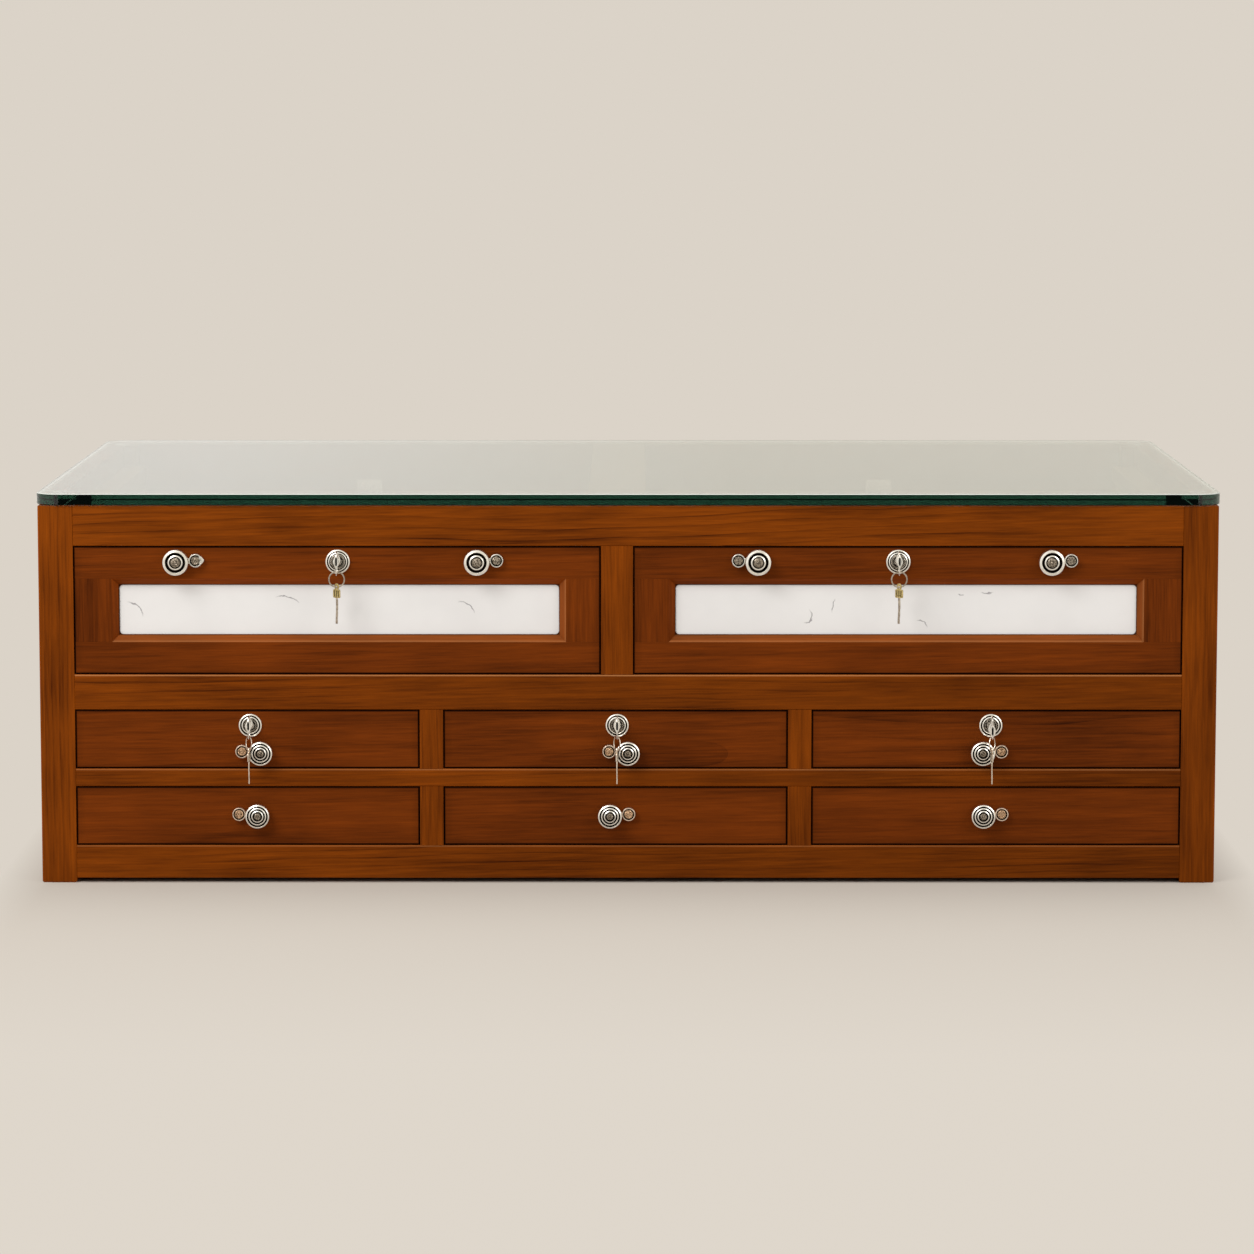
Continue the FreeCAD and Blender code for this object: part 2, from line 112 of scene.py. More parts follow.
class CounterSizes(bpy.types.PropertyGroup):
    """Sizes of the fittings and of the grain."""
    large_knob: length("Large knob", "Outer radius of the knobs on the deep drawers", 13.4)
    small_knob: length("Small knob", "Outer radius of the knobs on the shallow drawers", 12.5)
    knob_reach: length("Knob reach", "How far a knob's face stands out from its drawer", 14.0)
    knob_stem: length("Knob stem", "Radius of a knob's stem", 4.5)
    knob_neck: length("Knob neck", "Length of stem between the drawer and the knob's head", 5.0)
    tab_gap: length("Tab gap", "From a knob's rim to the middle of its tab's disc", 7.0)
    tab_radius: length("Tab radius", "Radius of a tab's disc", 7.0)
    tab_lift: turn("Tab lift", "How far a tab stands above level", 4.0)
    large_rose: length("Large rose", "Radius of the roses on the deep drawers", 12.7)
    small_rose: length("Small rose", "Radius of the roses on the shallow drawers", 12.1)
    rose_thick: length("Rose thickness", "How far a lock's rose stands out", 3.0)
    bore: length("Bore", "Radius of the hole that a lock's plug turns in", 6.4)
    bow_reach: length("Bow reach", "How far a key's bow reaches forward", 20.0)
    bow_height: length("Bow height", "Height of a key's bow", 24.0)
    bow_bar: length("Bow bar", "Width of the bar round a bow's window", 2.0)
    bow_swell: length("Bow swell", "Width of the bow across its thickest place", 6.4)
    bow_crown: length("Bow crown", "How far the thickest place of the bow is above its middle", 2.6)
    key_thick: length("Key thickness", "Thickness of the keys' sheet", 1.2)
    ring_radius: length("Ring radius", "Outer radius of a split ring", 8.7)
    ring_wire: length("Ring wire", "Breadth of a split ring's wire", 1.5)
    ring_turn: turn("Ring turn", "How far a ring that hangs over a knob is turned", 59.0)
    spare_turn: turn("Spare key turn", "How far a spare key is turned on its ring", 40.0)
    long_spare: length("Long spare key", "Length of the blades that hang over the marble", 27.0)
    short_spare: length("Short spare key", "Length of the blades that hang beside a knob", 23.5)
    growth: length("Growth rings", "Distance between two growth rings of the teak", 8.0)
    fibre: length("Fibre", "Width of one streak of fibres as it shows in the teak", 2.2)


class CounterColours(bpy.types.PropertyGroup):
    """Colours of the finishes and of the paper that the counter stands on."""
    frame_light: tint("Frame, light", "Early wood of the oiled teak frame", "#994A09")
    frame_dark: tint("Frame, dark", "Late wood of the oiled teak frame", "#401802")
    front_light: tint("Fronts, light", "Early wood of the drawer fronts", "#883E0B")
    front_dark: tint("Fronts, dark", "Late wood of the drawer fronts", "#381503")
    # A painted highlight colour, for the bevels that face the light and the lines on the rails under the
    # drawers
    rubbed: tint("Rubbed arris", "Pale wood of arrises that are rubbed bare", "#C98A55")
    box_light: tint("Boxes, light", "Waxed hardwood of the drawer boxes", "#B08A5E")
    box_dark: tint("Boxes, dark", "Darker grain of the drawer boxes", "#8D6538")
    marble: tint("Marble", "Polished white marble", "#F1F0EF")
    vein: tint("Vein", "Grey veins of the marble", "#A5A2A4")
    nickel: tint("Nickel", "Rubbed nickel plate", "#FAF7F0")
    tarnish: tint("Tarnish", "Tarnish left in the grooves", "#15110D")
    brass: tint("Brass", "Worn brass of the spare keys", "#DCC88C")
    glass: tint("Glass", "What a metre of the plate glass lets through", "#95BEB1")
    paper: tint("Paper", "Backdrop behind and under the counter", "#DBD3C8")


# Modelling

def clear():
    """Leaves edit mode and selects nothing."""
    if bpy.context.object and bpy.context.object.mode != "OBJECT":
        bpy.ops.object.mode_set(mode="OBJECT")
    bpy.ops.object.select_all(action="DESELECT")


def take(*pieces):
    """Selects these pieces alone, the first one active."""
    clear()
    for piece in pieces:
        piece.select_set(True)
    bpy.context.view_layer.objects.active = pieces[0]
    return pieces[0]


def named(name):
    """Leaves edit mode and names the active object and its mesh."""
    bpy.ops.object.mode_set(mode="OBJECT")
    piece = bpy.context.object
    piece.name = name
    piece.data.name = name
    return piece


def moved(piece, matrix):
    """Puts a piece's mesh in another place and leaves its object at the origin."""
    take(piece)
    piece.matrix_world = matrix
    bpy.ops.object.transform_apply(location=True, rotation=True, scale=True)
    return piece


def edit(kind="VERT", action="SELECT"):
    """Enters edit mode and selects all or none of one kind."""
    bpy.ops.object.mode_set(mode="EDIT")
    bpy.ops.mesh.select_mode(type=kind)
    bpy.ops.mesh.select_all(action=action)


def closed(piece):
    """Merges doubled points and turns the faces outwards."""
    take(piece)
    edit()
    bpy.ops.mesh.remove_doubles(threshold=0.002 * MM)
    bpy.ops.mesh.normals_make_consistent(inside=False)
    bpy.ops.object.mode_set(mode="OBJECT")
    return piece


def smooth(piece, degrees=35):
    take(piece)
    bpy.ops.object.shade_smooth_by_angle(angle=math.radians(degrees))
    return piece


def modified(piece, kind, **settings):
    """Adds a modifier, sets it and applies it."""
    modifier = piece.modifiers.new(kind.title(), kind)
    for key, value in settings.items():
        setattr(modifier, key, value)
    take(piece)
    bpy.ops.object.modifier_apply(modifier=modifier.name)
    return piece


def softened(piece, width, segments=2, degrees=30):
    """Rounds a piece's sharp edges."""
    modified(piece, "BEVEL", width=width * MM, segments=segments, limit_method="ANGLE",
             angle_limit=math.radians(degrees))
    return smooth(piece)


def cut(piece, cutter, operation="DIFFERENCE"):
    """Cuts a piece with another, or keeps what the two share, and deletes the other."""
    modified(piece, "BOOLEAN", operation=operation, object=cutter, solver="EXACT")
    delete(cutter)
    return piece


def delete(*pieces):
    take(*pieces)
    bpy.ops.object.delete()


def one(name, *pieces):
    """Several pieces made into one object."""
    take(*pieces)
    bpy.ops.object.join()
    return named(name)


def draw(points):
    """Draws a line through places in millimetres, by pulling one point along, and leaves it selected."""
    clear()
    bpy.ops.mesh.primitive_plane_add(size=MM)
    edit()
    bpy.ops.mesh.merge(type="CENTER")
    bpy.ops.transform.translate(value=Vector(points[0]) * MM)
    for here, there in zip(points, points[1:]):
        step = (Vector(there) - Vector(here)) * MM
        bpy.ops.mesh.extrude_vertices_move(TRANSFORM_OT_translate={"value": step})
    bpy.ops.mesh.select_all(action="SELECT")


def turned(name, profile, steps=64):
    """A piece turned round the Y axis: each corner is a radius and a distance out from the drawer's face."""
    draw([(radius, -out, 0) for radius, out in profile])
    bpy.ops.mesh.spin(steps=steps, angle=2 * math.pi, center=(0, 0, 0), axis=(0, 1, 0))
    return smooth(closed(named(name)))


def plate(name, outline, near, far):
    """A flat outline in X and Z, thickened from one distance out from the drawer's face to another."""
    draw([(x, -far, z) for x, z in outline + outline[:1]])
    bpy.ops.mesh.remove_doubles(threshold=0.002 * MM)
    bpy.ops.mesh.edge_face_add()
    bpy.ops.mesh.extrude_region_move(TRANSFORM_OT_translate={"value": (0, (far - near) * MM, 0)})
    return closed(named(name))


def bead(outer, inner, base, height):
    """Points of a bead in a turned profile, from its outer to its inner radius, with a sloping crown."""
    breadth = outer - inner
    return [(outer, base), (outer - 0.06 * breadth, base + 0.5 * height),
            (outer - 0.16 * breadth, base + 0.7 * height), (inner + 0.14 * breadth, base + height),
            (inner + 0.04 * breadth, base + 0.85 * height), (inner, base)]


def oblong(width, height, corner=0.0, count=4):
    """Corners of a rectangle about zero, rounded if a corner radius is given."""
    points = []
    for i, (sx, sz) in enumerate(((1, 1), (-1, 1), (-1, -1), (1, -1))):
        x, z = sx * (width / 2 - corner), sz * (height / 2 - corner)
        angles = [math.pi / 2 * (i + j / count) for j in range(count + 1)] if corner else [0]
        points += [(x + corner * math.cos(a), z + corner * math.sin(a)) for a in angles]
    return points


def both_halves(points):
    """A whole outline from its right half."""
    return points + [(-x, z) for x, z in reversed(points)]


def round_outline(radius, count=40):
    return [(radius * math.cos(2 * math.pi * i / count), radius * math.sin(2 * math.pi * i / count))
            for i in range(count)]


def paint(piece, *names):
    """Gives a piece the finishes of these names and no others."""
    piece.data.materials.clear()
    for name in names:
        piece.data.materials.append(bpy.data.materials[name])
    return piece


def choose(piece, index, test):
    """Gives a material to the faces whose middle passes a test, in radius, distance out and place."""
    for face in piece.data.polygons:
        middle = face.center / MM
        if test(math.hypot(middle.x, middle.z), -middle.y, middle):
            face.material_index = index
    return piece


def copied(master, name, place, body, node):
    """A copy of a master with its own mesh, in its place, on a body, standing for a node."""
    take(master)
    bpy.ops.object.duplicate(linked=False)
    piece = moved(named(name), place)
    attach(piece, body)
    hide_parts(node)
    return piece


def sites(ending):
    """Each joint with this ending: its drawer, what moves, and a place that its pieces are moved to."""
    found = []
    for name, joint in joints.items():
        if name.endswith(ending):
            drawer = next(d for d in DRAWERS if name.startswith(d))
            found.append((drawer, joint, Matrix.Translation(joint["pos_m"])))
    return found


def on_face(joint):
    """A joint's place, brought forward to the drawers' face."""
    return Matrix.Translation((joint["pos_m"][0], FACE, joint["pos_m"][2]))


# Finishes

def add(tree, kind, inputs=None, **settings):
    """Adds a shader node, sets it, and fills or links its inputs. A node means its first output in use."""
    node = tree.nodes.new("ShaderNode" + kind)
    for key, value in settings.items():
        setattr(node, key, value)
    for key, value in (inputs or {}).items():
        if isinstance(value, bpy.types.Node):
            value = next(socket for socket in value.outputs if socket.enabled)
        if isinstance(value, bpy.types.NodeSocket):
            tree.links.new(value, node.inputs[key])
        else:
            node.inputs[key].default_value = value
    return node


def work_out(tree, kind, value, *steps):
    """Takes a value through steps of arithmetic, each given as its operation and what else it needs."""
    for operation, *others in steps:
        value = add(tree, kind, {0: value, **dict(enumerate(others, 1))}, operation=operation)
    return value


def blank(name):
    """A new material with an empty tree."""
    material = bpy.data.materials.new(name)
    material.use_nodes = True
    material.node_tree.nodes.clear()
    return material.node_tree


def show(tree, shader, volume=None):
    """Ends a tree in its surface shader and, for glass, its volume."""
    inputs = {"Surface": shader}
    if volume:
        inputs["Volume"] = volume
    add(tree, "OutputMaterial", inputs)


def lie(tree, along, seed, tilt=(0.0, 0.0)):
    """Places along a board: the grain runs along X, and the seed picks a place in the log."""
    spin = {"x": (0, 0, 0), "y": (0, 0, -math.pi / 2), "z": (0, math.pi / 2, 0)}[along]
    place = add(tree, "Mapping", {0: add(tree, "TexCoord").outputs["Object"], "Rotation": spin})
    return add(tree, "Mapping", {0: place, "Location": seed, "Rotation": (0, *tilt)})


def past(tree, low, high):
    """How far a place is past a box's ends along each axis, in metres, and below zero between them."""
    middle, half = (low + high) / 2, (high - low) / 2
    place = add(tree, "TexCoord").outputs["Object"]
    away = work_out(tree, "VectorMath", place, ("SUBTRACT", middle), ("ABSOLUTE",), ("SUBTRACT", half))
    return add(tree, "SeparateXYZ", {0: away})


def beyond(tree, low, high):
    """How far a place is outside a box's outline seen from the front, in metres, and below zero inside it."""
    away = past(tree, low, high)
    return add(tree, "Math", {0: away.outputs[0], 1: away.outputs[2]}, operation="MAXIMUM")


def lie_framed(tree, low, high, seed):
    """Places in a framed front: the grain runs up its stiles, along its rails and in its mitred bevels."""
    away = past(tree, low, high)
    across = add(tree, "Math", {0: away.outputs[0], 1: 0.0}, operation="MINIMUM")
    stile = add(tree, "Math", {0: away.outputs[2], 1: across}, operation="LESS_THAN")
    rail, post = lie(tree, "x", seed, (0.02, 0.01)), lie(tree, "z", seed, (0.01, 0.02))
    return add(tree, "Mix", {0: stile, 4: rail, 5: post}, data_type="VECTOR")


def lie_round(tree, seed):
    """Places in what runs round the sides and the back: along Y in the sides and along X in the back."""
    side_from = 0.58
    spot = add(tree, "SeparateXYZ", {0: add(tree, "TexCoord").outputs["Object"]})
    side = work_out(tree, "Math", spot, ("ABSOLUTE",), ("GREATER_THAN", side_from))
    back, flank = lie(tree, "x", seed, (0.01, 0.01)), lie(tree, "y", seed, (0.01, 0.01))
    return add(tree, "Mix", {0: side, 4: back, 5: flank}, data_type="VECTOR")


def front_painted_light_and_shade(tree, drawer):
    """Painted light and shade on a front: painted shade in the gap round its face, a soft painted shade beside
    that, a dark line of painted shade where the bevel meets the marble, and a painted highlight on the bevels
    that face the light, the right and the lower one. Behind the face the front's edges get only a little of
    the painted shade, as an open drawer shows."""
    rim = beyond(tree, *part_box(drawer + "_front"))
    behind = add(tree, "SeparateXYZ", {0: add(tree, "TexCoord").outputs["Object"]}).outputs[1]
    # Painted shade in the gap round the face: strong at the face, weak on the edges behind it
    least = add(tree, "MapRange", {0: behind, 1: FACE + 0.6 * MM, 2: FACE + 3.0 * MM, 3: 0.08, 4: 0.75})
    gap = add(tree, "MapRange", {0: rim, 1: -1.3 * MM, 2: -0.5 * MM, 3: 1.0, 4: least})
    # A soft painted shade along the rim of the face, 9 mm wide
    shade = add(tree, "MapRange", {0: rim, 1: -9.0 * MM, 2: -1.0 * MM, 3: 1.0, 4: 0.82})
    dark = add(tree, "Math", {0: gap, 1: shade}, operation="MULTIPLY")
    pale = 0.0
    if drawer.startswith("upper"):
        low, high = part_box(drawer + "_marble")
        lap = Vector((MARBLE_LAP, 0, MARBLE_LAP)) * MM
        sight = beyond(tree, low + lap, high - lap)
        # A dark line of painted shade in the crease where the bevel meets the marble
        seam = add(tree, "MapRange", {0: sight, 1: 0.5 * MM, 2: 1.3 * MM, 3: 0.3})
        dark = add(tree, "Math", {0: dark, 1: seam}, operation="MULTIPLY")
        # A painted highlight on the bevels that face up or to the left, as if lit from the upper left
        facing = add(tree, "NewGeometry").outputs["True Normal"]
        side = add(tree, "VectorMath", {0: facing, 1: (-1.0, 0.0, 1.0)}, operation="DOT_PRODUCT")
        sloping = add(tree, "Math", {0: side, 1: 0.9}, operation="LESS_THAN")
        lit = add(tree, "Math", {0: side, 1: sloping}, operation="MULTIPLY")
        outer = add(tree, "MapRange", {0: sight, 1: 5.0 * MM, 2: 6.8 * MM, 3: 0.1, 4: 0.35})
        within = add(tree, "Math", {0: sight, 1: 7.8 * MM}, operation="LESS_THAN")
        outer = add(tree, "Math", {0: outer, 1: within}, operation="MULTIPLY")
        lit = add(tree, "MapRange", {0: lit, 1: 0.3, 2: 0.7})
        pale = add(tree, "Math", {0: lit, 1: outer}, operation="MULTIPLY")
    return dark, pale


def rail_highlight_and_darkening(tree):
    """A thin painted highlight along the rails just under each row of drawers, standing for light on the
    rail's top arris, and a soft darkness toward the right on the rails below the deep drawers."""
    deep_drawers_from = 0.225
    spot = add(tree, "SeparateXYZ", {0: add(tree, "TexCoord").outputs["Object"]})
    height = spot.outputs[2]
    below = add(tree, "Math", {0: height, 1: deep_drawers_from}, operation="LESS_THAN")
    shade = add(tree, "MapRange", {0: spot, 1: -0.25, 2: 0.0, 4: 0.17})
    shade = add(tree, "Math", {0: shade, 1: below}, operation="MULTIPLY")
    pale = 0.0
    # Painted highlight lines, strongest under the upper drawers
    for name, strength in (("upper_left", 0.6), ("row1_left", 0.3), ("row2_left", 0.2)):
        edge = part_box(name + "_front")[0].z - RAIL_HIGHLIGHT_DROP * MM
        off = work_out(tree, "Math", height, ("SUBTRACT", edge), ("ABSOLUTE",))
        line = add(tree, "MapRange", {0: off, 1: 0.4 * MM, 2: 0.9 * MM, 3: strength, 4: 0.0})
        pale = add(tree, "Math", {0: line, 1: pale}, operation="MAXIMUM")
    return add(tree, "Math", {0: 1.0, 1: shade}, operation="SUBTRACT"), pale


def streaks(tree, place, along, across, detail=2.0, roughness=0.5):
    """Noise in streaks along the grain, given as how many there are in a metre along it and across it."""
    stretched = add(tree, "Mapping", {0: place, "Scale": (along, across, across)})
    return add(tree, "TexNoise", {0: stretched, "Scale": 1.0, "Detail": detail, "Roughness": roughness})


def make_wood(name, light, dark, lay, figure=0.16, rough=0.45, wear=lambda tree: (1.0, 0.0)):
    """Teak, sawn, sanded and oiled. Fine fibres run along each board under a slow drift of tone, and the dark
    late wood of a growth ring shows here and there. Fibres, 0.2 mm wide in life, are drawn ten times as wide
    so that they show. Painted light makes the left side and the top a little lighter, and a painted highlight
    makes slanted faces, the arrises and bevels, lighter still."""
    sizes = bpy.context.scene.counter_sizes
    tree = blank(name)
    place = lay(tree)
    # The rings wander by 4 cm along a board, which gives long flames
    bend = streaks(tree, place, 1.4, 7.0, 3.0)
    bent = add(tree, "VectorMath", {0: bend.outputs["Color"], 1: (0.0, 0.040, 0.040), 2: place},
               operation="MULTIPLY_ADD")
    ring = add(tree, "TexWave", {0: bent, "Scale": math.pi / (10 * sizes.growth)}, wave_type="RINGS",
               rings_direction="X", wave_profile="SAW")
    late = add(tree, "Math", {0: ring.outputs["Fac"], 1: 6.0}, operation="POWER")
    where = streaks(tree, bent, 2.5, 16.0)
    shown = add(tree, "MapRange", {0: where, 1: 0.44, 2: 0.64, 4: figure})
    fine = streaks(tree, place, 17.0, 1 / sizes.fibre, 3.0, 0.65)
    band = streaks(tree, place, 3.0, 80.0)
    cloud = streaks(tree, place, 6.5, 14.0)
    tone = 0.0
    for part, share in ((fine, 0.40), (band, 0.24), (cloud, 0.36), (late, shown)):
        tone = add(tree, "Math", {0: part, 1: share, 2: tone}, operation="MULTIPLY_ADD")
    colour = add(tree, "ValToRGB", {0: tone})
    for stop, (position, value) in zip(colour.color_ramp.elements, ((0.27, light), (0.74, dark))):
        stop.position = position
        stop.color = value
    spot = add(tree, "TexCoord").outputs["Object"]
    # Painted light: lighter toward the left and the top, as if lit from the upper left
    painted_light_gradient = add(tree, "VectorMath", {0: spot, 1: (-0.07, 0.0, 0.30)}, operation="DOT_PRODUCT")
    facing = add(tree, "NewGeometry").outputs["True Normal"]
    facing = add(tree, "SeparateXYZ", {0: add(tree, "VectorMath", {0: facing}, operation="ABSOLUTE")})
    most = work_out(tree, "Math", facing, *(("MAXIMUM", facing.outputs[i]) for i in (1, 2)))
    # Painted highlight: slanted faces, the arrises and bevels, are painted up to 1.45 times lighter
    arris = add(tree, "MapRange", {0: most, 1: 0.80, 2: 0.97, 3: 1.45})
    # What a board is given besides its grain: on a front, painted shade round its face and a painted highlight
    # on the bevels that face the light; on the rails, a painted highlight under each row of drawers and a
    # darkening toward the right
    painted_shade_and_darkening, pale = wear(tree)
    level = work_out(tree, "Math", painted_light_gradient, ("ADD", 0.93), ("MULTIPLY", arris), ("MULTIPLY", painted_shade_and_darkening))
    toned = add(tree, "VectorMath", {0: colour, "Scale": level}, operation="SCALE")
    # The colour that the painted highlights are mixed toward
    rubbed = bpy.context.scene.counter_colours.rubbed
    toned = add(tree, "Mix", {0: pale, 6: toned, 7: rubbed}, data_type="RGBA")
    relief = add(tree, "Bump", {"Strength": 0.10, "Distance": 0.4 * MM, "Height": fine})
    gloss = add(tree, "Math", {0: fine, 1: 0.12, 2: rough}, operation="MULTIPLY_ADD")
    surface = {"Base Color": toned, "Roughness": gloss, "Normal": relief, "Specular IOR Level": 0.035}
    show(tree, add(tree, "BsdfPrincipled", surface))


def make_marble(name, stone, vein):
    """Polished marble: a nearly even white with a faint haze, and in a few places short thin grey veins."""
    tree = blank(name)
    place = add(tree, "TexCoord").outputs["Object"]
    # The veins waver by a millimetre or so, and the noise moves them by 3 mm on the average
    drift = 3.0
    bend = add(tree, "TexNoise", {0: place, "Scale": 120.0, "Detail": 4.0, "Roughness": 0.6})
    shift = add(tree, "VectorMath", {0: bend.outputs["Color"], 1: [2 * drift * MM] * 3, 2: place},
                operation="MULTIPLY_ADD")
    haze = add(tree, "TexNoise", {0: place, "Scale": 14.0, "Detail": 3.0})
    amount = add(tree, "MapRange", {0: haze, 1: 0.4, 2: 0.8, 4: 0.12})
    for x, z, reach, centre_x, centre_z, radius in VEINS:
        spots = [((u + drift) * MM, FACE + MARBLE_SET * MM, (w + drift) * MM)
                 for u, w in ((x, z), (centre_x, centre_z))]
        away = add(tree, "VectorMath", {0: shift, 1: spots[0]}, operation="DISTANCE")
        near = add(tree, "MapRange", {0: away, 1: 0.5 * reach * MM, 2: reach * MM, 3: 1.0, 4: 0.0})
        out = add(tree, "VectorMath", {0: shift, 1: spots[1]}, operation="DISTANCE")
        off = work_out(tree, "Math", out, ("SUBTRACT", radius * MM), ("ABSOLUTE",))
        line = add(tree, "MapRange", {0: off, 1: 0.2 * MM, 2: 0.8 * MM, 3: 1.0, 4: 0.0})
        amount = add(tree, "Math", {0: line, 1: near, 2: amount}, operation="MULTIPLY_ADD")
    colour = add(tree, "Mix", {0: amount, 6: stone, 7: vein}, data_type="RGBA")
    surface = {"Base Color": colour, "Roughness": 0.22, "Specular IOR Level": 0.3}
    show(tree, add(tree, "BsdfPrincipled", surface))


def make_metal(name, clean, worn, rough, patch, darkening, dents=0.0, strokes=0.0):
    """Plated, cast, filed or drawn metal: worn bright where hands reach, with clouds of tarnish, fine dents
    where it was cast and strokes where a file went over it. Both are about as coarse as the real marks."""
    tree = blank(name)
    place = add(tree, "TexCoord").outputs["Object"]
    cloud = add(tree, "TexNoise", {0: place, "Scale": 1 / (patch * MM), "Detail": 3.0, "Roughness": 0.65})
    filed = add(tree, "TexWave", {0: place, "Scale": 320.0, "Distortion": 3.0, "Detail": 2.0,
                                  "Detail Scale": 1.5}, wave_type="BANDS", bands_direction="DIAGONAL")
    cloud = add(tree, "Math", {0: filed.outputs["Fac"], 1: strokes, 2: cloud}, operation="MULTIPLY_ADD")
    clean_to, worn_from = 0.42 + strokes / 2, 0.62 + strokes / 2
    amount = add(tree, "MapRange", {0: cloud, 1: clean_to, 2: worn_from, 4: darkening})
    tone = add(tree, "Mix", {0: amount, 6: clean, 7: worn}, data_type="RGBA")
    gloss = add(tree, "Math", {0: amount, 1: 0.3, 2: rough}, operation="MULTIPLY_ADD")
    pits = add(tree, "TexVoronoi", {0: place, "Scale": 1 / (1.1 * MM)})
    relief = add(tree, "Bump", {"Strength": dents, "Distance": 0.6 * MM, "Height": pits})
    surface = {"Base Color": tone, "Metallic": 1.0, "Roughness": gloss, "Normal": relief}
    show(tree, add(tree, "BsdfPrincipled", surface))


def make_glass(name, green):
    """Polished plate glass: clear face on, with the iron's green gathering on the long way through its edge.
    Its arrises are ground matt and show as fine white lines."""
    tree = blank(name)
    surface = {"Base Color": (1, 1, 1, 1), "Roughness": 0.0, "IOR": 1.52, "Transmission Weight": 1.0}
    clear_glass = add(tree, "BsdfPrincipled", surface)
    ground = add(tree, "BsdfDiffuse", {"Color": linear("#DFE1DA")})
    facing = add(tree, "NewGeometry").outputs["True Normal"]
    upward = add(tree, "SeparateXYZ", {0: facing}).outputs[2]
    # An arris faces halfway up
    arris = add(tree, "Math", {0: upward, 1: 0.7, 2: 0.15}, operation="COMPARE")
    shader = add(tree, "MixShader", {0: arris, 1: clear_glass, 2: ground})
    show(tree, shader, add(tree, "VolumeAbsorption", {"Color": green, "Density": 9.0}))


def make_plastic(name, colour, clouded):
    """Soft moulded plastic with a faint cloud in it."""
    tree = blank(name)
    cloud = add(tree, "TexNoise", {0: add(tree, "TexCoord").outputs["Object"], "Scale": 900.0})
    tone = add(tree, "Mix", {0: cloud, 6: colour, 7: clouded}, data_type="RGBA")
    show(tree, add(tree, "BsdfPrincipled", {"Base Color": tone, "Roughness": 0.35, "IOR": 1.49}))


def make_paper(name, colour):
    """Matt background paper: it takes the counter's shadow near by and fades into the backdrop far off."""
    tree = blank(name)
    place = add(tree, "TexCoord").outputs["Object"]
    # How far a place is from the counter's foot, where a step sideways counts fifteen times
    away = work_out(tree, "VectorMath", place, ("ABSOLUTE",), ("SUBTRACT", (0.60, 0.336, 0.0)),
                    ("MAXIMUM", (0.0, 0.0, 0.0)), ("MULTIPLY", (15.0, 1.0, 1.0)), ("LENGTH",))
    fade = add(tree, "MapRange", {0: away, 1: 0.0, 2: 0.9, 3: 0.34})
    clear_of = add(tree, "MapRange", {0: away, 1: 0.0, 2: 0.006})
    fade = add(tree, "Math", {0: fade, 1: clear_of}, operation="MULTIPLY")
    grain = add(tree, "TexNoise", {0: place, "Scale": 300.0, "Detail": 3.0})
    relief = add(tree, "Bump", {"Strength": 0.05, "Distance": 0.2 * MM, "Height": grain})
    matt = add(tree, "BsdfDiffuse", {"Color": linear("#CDC4B8"), "Normal": relief})
    ahead = add(tree, "SeparateXYZ", {0: place}).outputs[1]
    # Painted light: the glow is up to 4% brighter towards the front
    nearer = add(tree, "MapRange", {0: ahead, 1: -0.4, 2: -1.2, 3: 1.0, 4: 1.04})
    glow = add(tree, "Emission", {"Color": colour, "Strength": nearer})
    show(tree, add(tree, "MixShader", {0: fade, 1: matt, 2: glow}))


